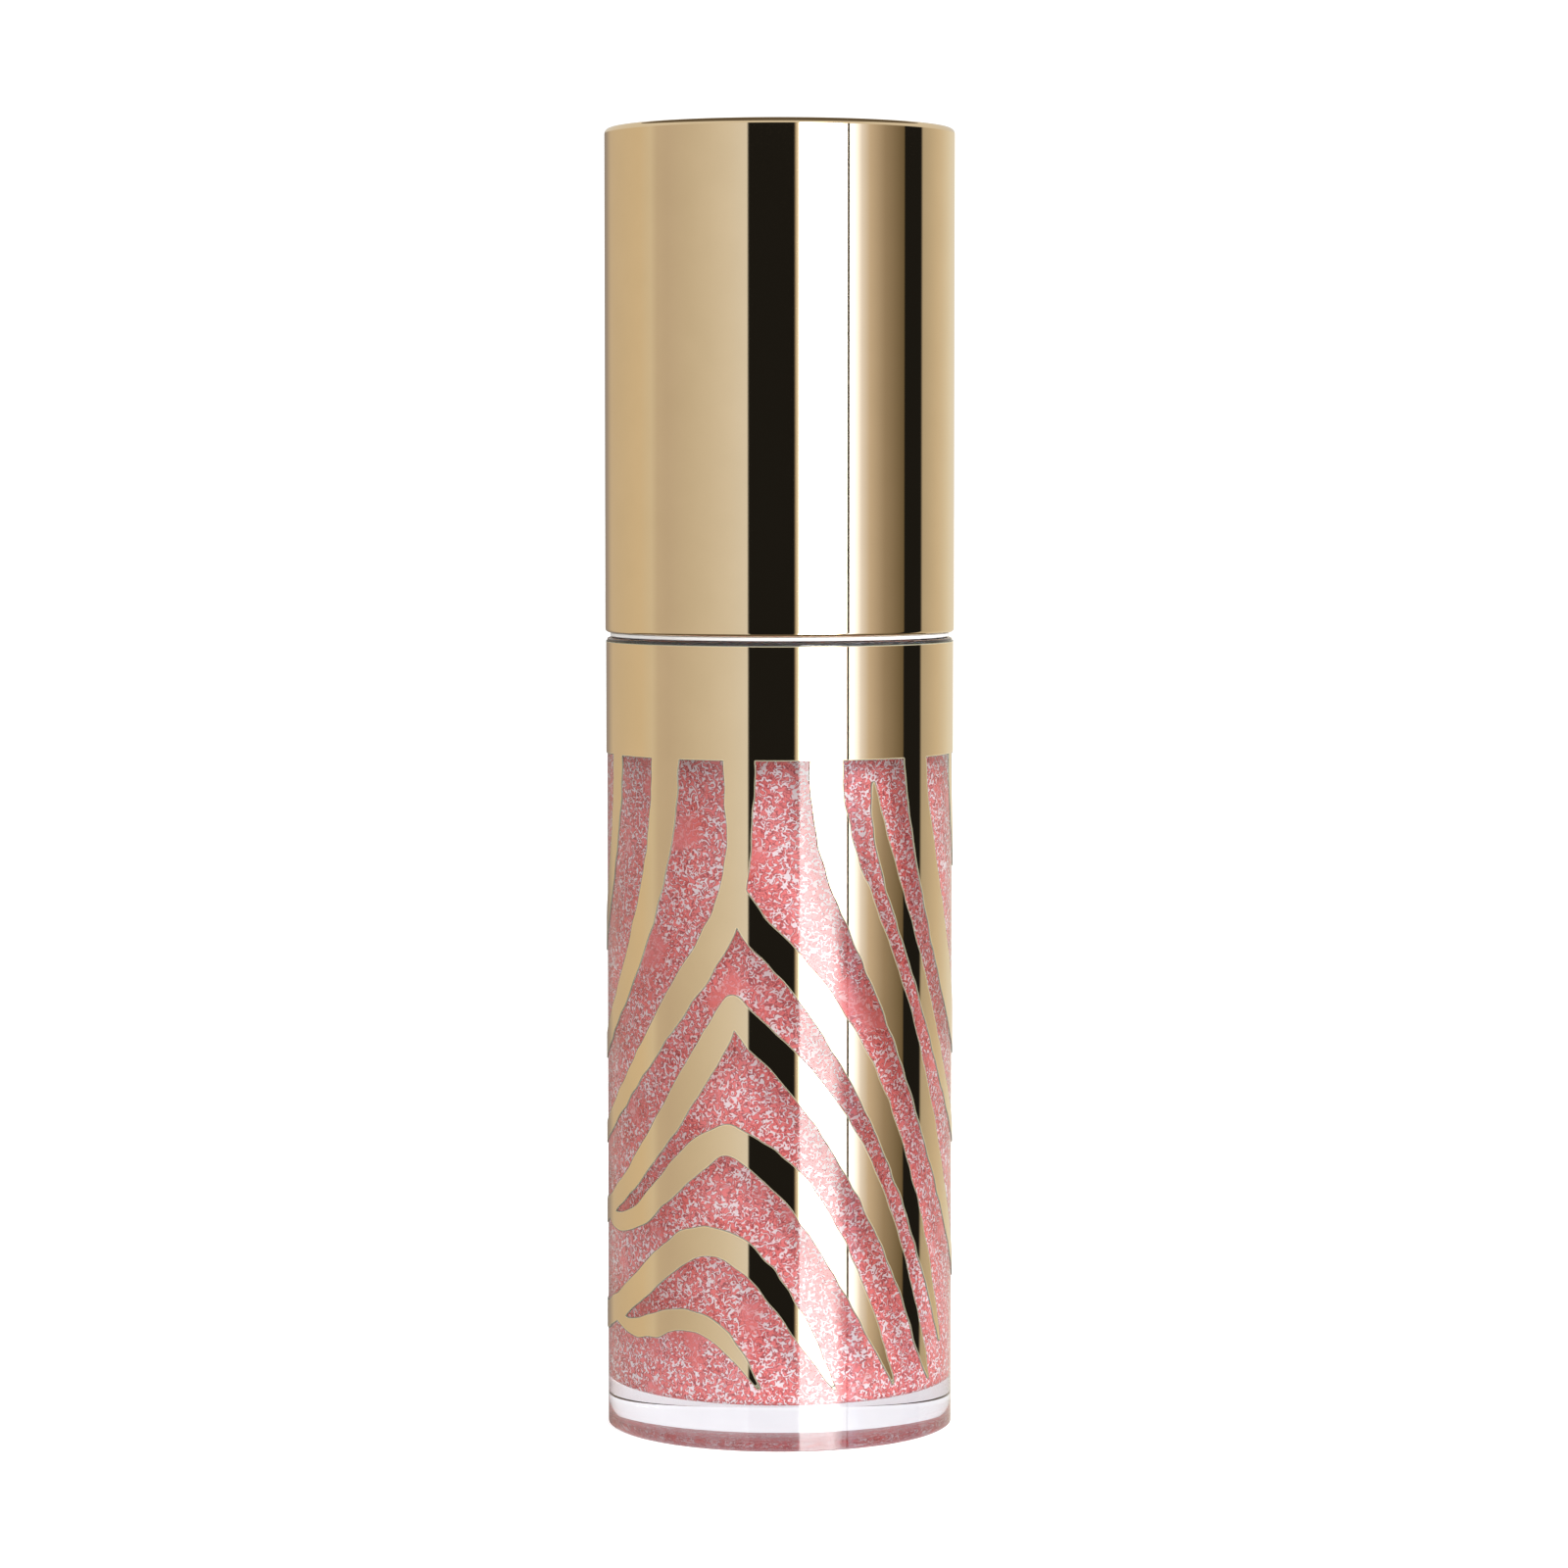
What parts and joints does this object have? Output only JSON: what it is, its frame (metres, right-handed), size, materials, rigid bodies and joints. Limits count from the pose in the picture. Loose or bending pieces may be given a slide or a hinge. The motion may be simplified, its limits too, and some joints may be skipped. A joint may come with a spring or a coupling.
{
  "type": "lip gloss tube",
  "caption": "Clear round lip gloss tube with a gold striped foil print and a gold screw cap that carries the doe-foot applicator.",
  "frame": {"origin": "centre of the base's underside, on the tube's axis", "axes": "+Z along the tube from base to cap, -Y towards the front view"},
  "size_m": [0.02, 0.02, 0.0742],
  "materials": {
    "clear_plastic": "clear, thick-walled, polished",
    "natural_plastic": "natural translucent white",
    "soft_plastic": "soft, satin",
    "gloss_pink": "thick liquid with fine glitter",
    "foil_gold": "mirror-bright pale gold metallising",
    "cap_gold": "polished pale gold anodising",
    "flock": "short white flock"
  },
  "bodies": {
    "bottle": {"bottle_body": "clear_plastic", "neck_insert": "natural_plastic", "wiper": "soft_plastic", "gloss_fill": "gloss_pink", "foil_band": "foil_gold", "foil_chevron": "foil_gold", "foil_fork": "foil_gold", "foil_island": "foil_gold"},
    "seal": {"seal_washer": "soft_plastic"},
    "stem": {"stem": "natural_plastic"},
    "cap": {"cap_shell": "cap_gold", "inner_cap": "natural_plastic", "applicator_tip": "flock"}
  },
  "joints": [
    {"name": "cap_pull", "type": "slide", "parent": "bottle", "child": "seal", "axis": [0, 0, 1], "range_m": [0, 0.052], "deforming": ["wiper"]},
    {"name": "cap_rise", "type": "slide", "parent": "seal", "child": "stem", "axis": [0, 0, 1], "range_m": [0, 0.003]},
    {"name": "cap_turn", "type": "hinge", "parent": "stem", "child": "cap", "pos_m": [0, 0, 0.05], "axis": [0, 0, 1], "range_deg": [0, 450]}
  ],
  "couplings": [
    {"joint": "cap_rise", "follows": "cap_turn", "m_per_rad": 0.00038197}
  ]
}
